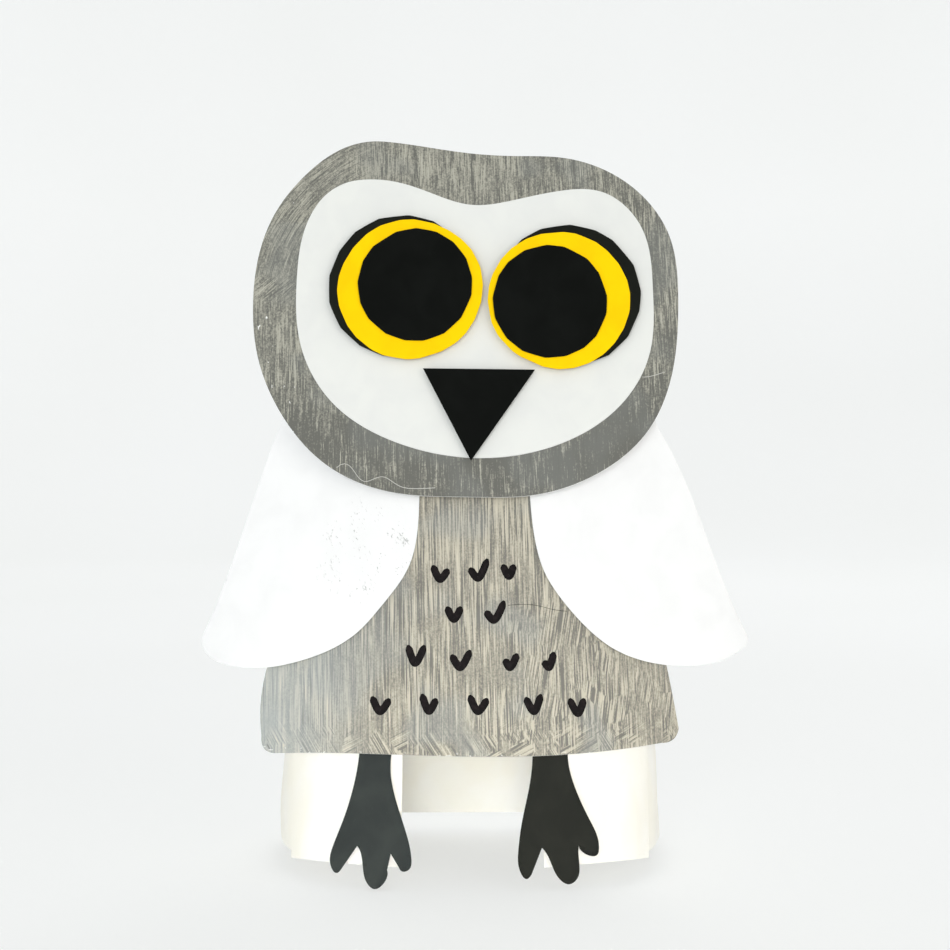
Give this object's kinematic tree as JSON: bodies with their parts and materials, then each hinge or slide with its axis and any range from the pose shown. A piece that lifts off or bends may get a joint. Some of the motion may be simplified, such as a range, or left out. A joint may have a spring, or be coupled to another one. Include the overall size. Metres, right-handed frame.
{
  "type": "paper bag puppet",
  "caption": "Owl hand puppet made from a flat-bottomed paper bag, with a hinged card head, glued card body, wings and feet, and layered round eyes.",
  "frame": {"origin": "centre of the bag's open rim, where the hand goes in", "axes": "+Z from the open rim up to the head, -Y is the owl's front, +X to the right as seen from the front"},
  "size_m": [0.1811, 0.0703, 0.2425],
  "materials": {
    "bag_paper": "matte white kraft paper, creased",
    "painted_head_card": "matte grey paint, brush strokes",
    "painted_body_card": "matte warm grey paint, vertical brush strokes",
    "white_card": "matte white card",
    "black_card": "matte black card",
    "yellow_card": "matte yellow card",
    "foam_pad": "white closed-cell foam mounting pad",
    "ink": "dried black marker ink"
  },
  "bodies": {
    "back": {"back_panel": "bag_paper", "seam_lap": "bag_paper", "top_fold": "bag_paper", "gusset_left": "bag_paper", "gusset_right": "bag_paper"},
    "front": {"front_panel": "bag_paper", "foot_left": "black_card", "foot_right": "black_card", "body_card": "painted_body_card", "feather_marks": "ink", "wing_left": "white_card", "wing_right": "white_card", "throat_strip": "bag_paper", "throat_web_left": "bag_paper", "throat_web_right": "bag_paper"},
    "head": {"base_flap": "bag_paper", "head_card": "painted_head_card", "face_card": "white_card", "eye_pad_left": "foam_pad", "eye_pad_right": "foam_pad", "eye_rim_left": "black_card", "eye_rim_right": "black_card", "iris_left": "yellow_card", "iris_right": "yellow_card", "pupil_left": "black_card", "pupil_right": "black_card", "beak_pad": "foam_pad", "beak": "black_card"}
  },
  "joints": [
    {"name": "mouth_hinge", "type": "hinge", "parent": "front", "child": "head", "pos_m": [0, 0.01875, 0.2144], "axis": [-1, 0, 0], "range_deg": [0, 70], "deforming": ["throat_strip", "throat_web_left", "throat_web_right"]},
    {"name": "bag_squeeze", "type": "hinge", "parent": "back", "child": "front", "pos_m": [0, 0.035, 0.2746], "axis": [1, 0, 0], "range_deg": [0, 9.5], "deforming": ["top_fold", "gusset_left", "gusset_right"]}
  ]
}
